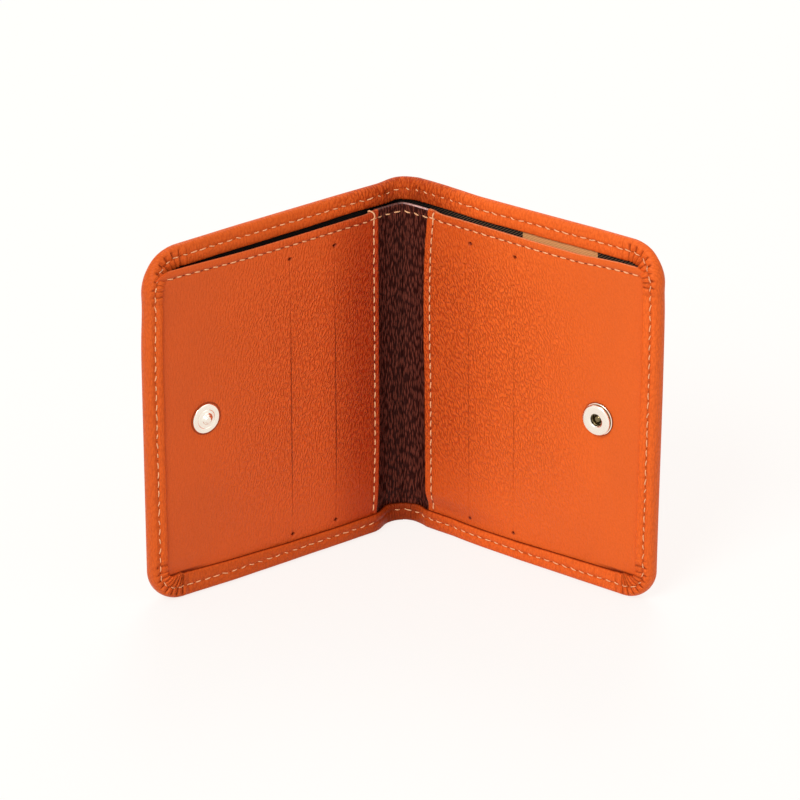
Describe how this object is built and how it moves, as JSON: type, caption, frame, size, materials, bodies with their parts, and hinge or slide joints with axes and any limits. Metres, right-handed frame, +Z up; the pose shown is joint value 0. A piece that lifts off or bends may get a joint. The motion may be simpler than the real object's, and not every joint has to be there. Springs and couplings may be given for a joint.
{
  "type": "bifold wallet",
  "caption": "Small upright bifold card wallet with hemmed leather cover, card panels, note compartment, dark spine strip and a press snap, standing open.",
  "frame": {"origin": "under the middle of the open wallet's box, on the surface it stands on", "axes": "+Z up along the creases; +Y towards the spine, so the card panels face -Y; +X to the right seen from the card panels"},
  "size_m": [0.1456, 0.0554, 0.1098],
  "materials": {
    "orange_leather": "pebbled full-grain leather, satin",
    "brown_leather": "pebbled leather, satin",
    "twill_lining": "dark diagonal twill with a plain tan band",
    "board": "bonded stiffener board, hidden",
    "thread": "waxed polyester sewing thread",
    "pale_metal": "pale plated brass, polished",
    "spring_steel": "spring wire"
  },
  "bodies": {
    "spine": {"spine_cover": "orange_leather", "spine_lining": "twill_lining", "spine_strip": "brown_leather", "spine_strip_thread": "thread", "spine_top_hem_thread": "thread", "spine_bottom_hem_thread": "thread"},
    "left_half": {"left_cover": "orange_leather", "left_board": "board", "left_note_lining": "twill_lining", "left_divider": "twill_lining", "left_inner_slot_lining": "twill_lining", "left_outer_slot_lining": "twill_lining", "left_strip_wing": "brown_leather", "left_card_panel": "orange_leather", "left_side_hem_thread": "thread", "left_top_hem_thread": "thread", "left_panel_top_thread": "thread", "left_panel_edge_thread": "thread", "left_snap_cap": "pale_metal", "snap_stud": "pale_metal"},
    "right_half": {"right_cover": "orange_leather", "right_board": "board", "right_note_lining": "twill_lining", "right_divider": "twill_lining", "right_inner_slot_lining": "twill_lining", "right_outer_slot_lining": "twill_lining", "right_strip_wing": "brown_leather", "right_card_panel": "orange_leather", "right_side_hem_thread": "thread", "right_top_hem_thread": "thread", "right_panel_top_thread": "thread", "right_panel_edge_thread": "thread", "right_snap_cap": "pale_metal", "snap_socket": "pale_metal", "snap_spring": "spring_steel"}
  },
  "joints": [
    {"name": "left_fold", "type": "hinge", "parent": "spine", "child": "left_half", "pos_m": [-0.0058, 0.02486, 0], "axis": [0, 0, 1], "range_deg": [-35.9, 54]},
    {"name": "right_fold", "type": "hinge", "parent": "spine", "child": "right_half", "pos_m": [0.0058, 0.02486, 0], "axis": [0, 0, 1], "range_deg": [-54, 35.9]}
  ],
  "couplings": [
    {"joint": "right_fold", "follows": "left_fold", "ratio": -1}
  ]
}
